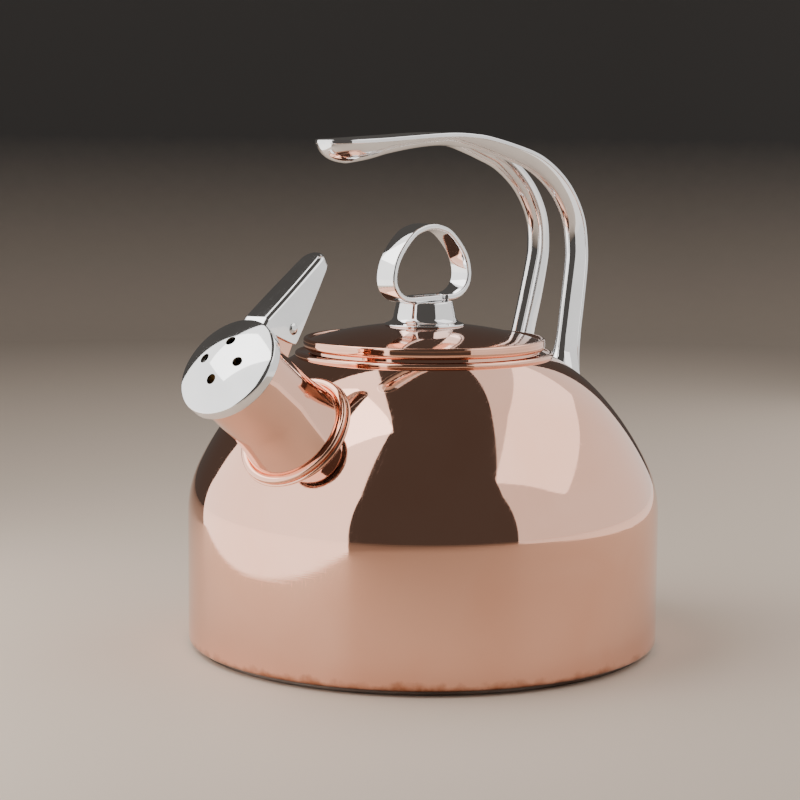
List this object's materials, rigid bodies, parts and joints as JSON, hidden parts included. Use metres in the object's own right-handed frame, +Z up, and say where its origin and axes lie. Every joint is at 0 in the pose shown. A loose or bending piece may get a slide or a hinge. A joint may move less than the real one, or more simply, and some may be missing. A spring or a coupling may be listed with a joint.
{
  "type": "whistling kettle",
  "caption": "Round copper stove-top kettle with a lift-off domed lid, a short angled spout with a sprung whistle cap, and a forked chrome handle.",
  "frame": {"origin": "centre of the base on the surface it stands on", "axes": "+Z up, spout towards -X, handle's legs towards +X, handle in the XZ plane"},
  "size_m": [0.2198, 0.19, 0.2062],
  "materials": {
    "copper": "mirror-polished copper sheet",
    "copper_lid": "mirror-polished copper sheet",
    "copper_fittings": "polished copper",
    "chrome": "bright chrome plate",
    "chrome_knob": "bright chrome plate",
    "chrome_cap": "bright chrome plate",
    "steel": "plain stainless steel",
    "base_steel": "satin steel, heat darkened",
    "silicone": "matt silicone rubber",
    "reed_brass": "thin spring brass"
  },
  "bodies": {
    "kettle": {"base_plate": "base_steel", "body_shell": "copper", "mouth_ring": "copper", "spout_tube": "copper", "spout_collar": "copper", "hinge_bracket": "copper_fittings", "hinge_spring": "steel", "handle": "chrome", "handle_gaskets": "silicone", "handle_washers": "steel", "handle_screws": "steel"},
    "lid": {"lid_dome": "copper_lid", "lid_skirt": "copper_lid", "knob_base": "chrome_knob", "knob_loop": "chrome_knob", "knob_screw": "steel", "knob_washer": "steel"},
    "whistle": {"whistle_cap": "chrome_cap", "whistle_cup": "steel", "cap_seal": "silicone", "reed_plate": "reed_brass", "reeds": "reed_brass", "cap_lever": "chrome_cap", "hinge_pin": "chrome_cap"}
  },
  "joints": [
    {"name": "whistle_hinge", "type": "hinge", "parent": "kettle", "child": "whistle", "pos_m": [-0.08386, 0, 0.1334], "axis": [0, 1, 0], "range_deg": [0, 45], "stiffness_Nm_per_rad": 0.12, "springref_deg": -45.84, "deforming": ["hinge_spring"]},
    {"name": "lid_lift", "type": "slide", "parent": "kettle", "child": "lid", "axis": [0, 0, 1], "range_m": [0, 0.029]}
  ]
}
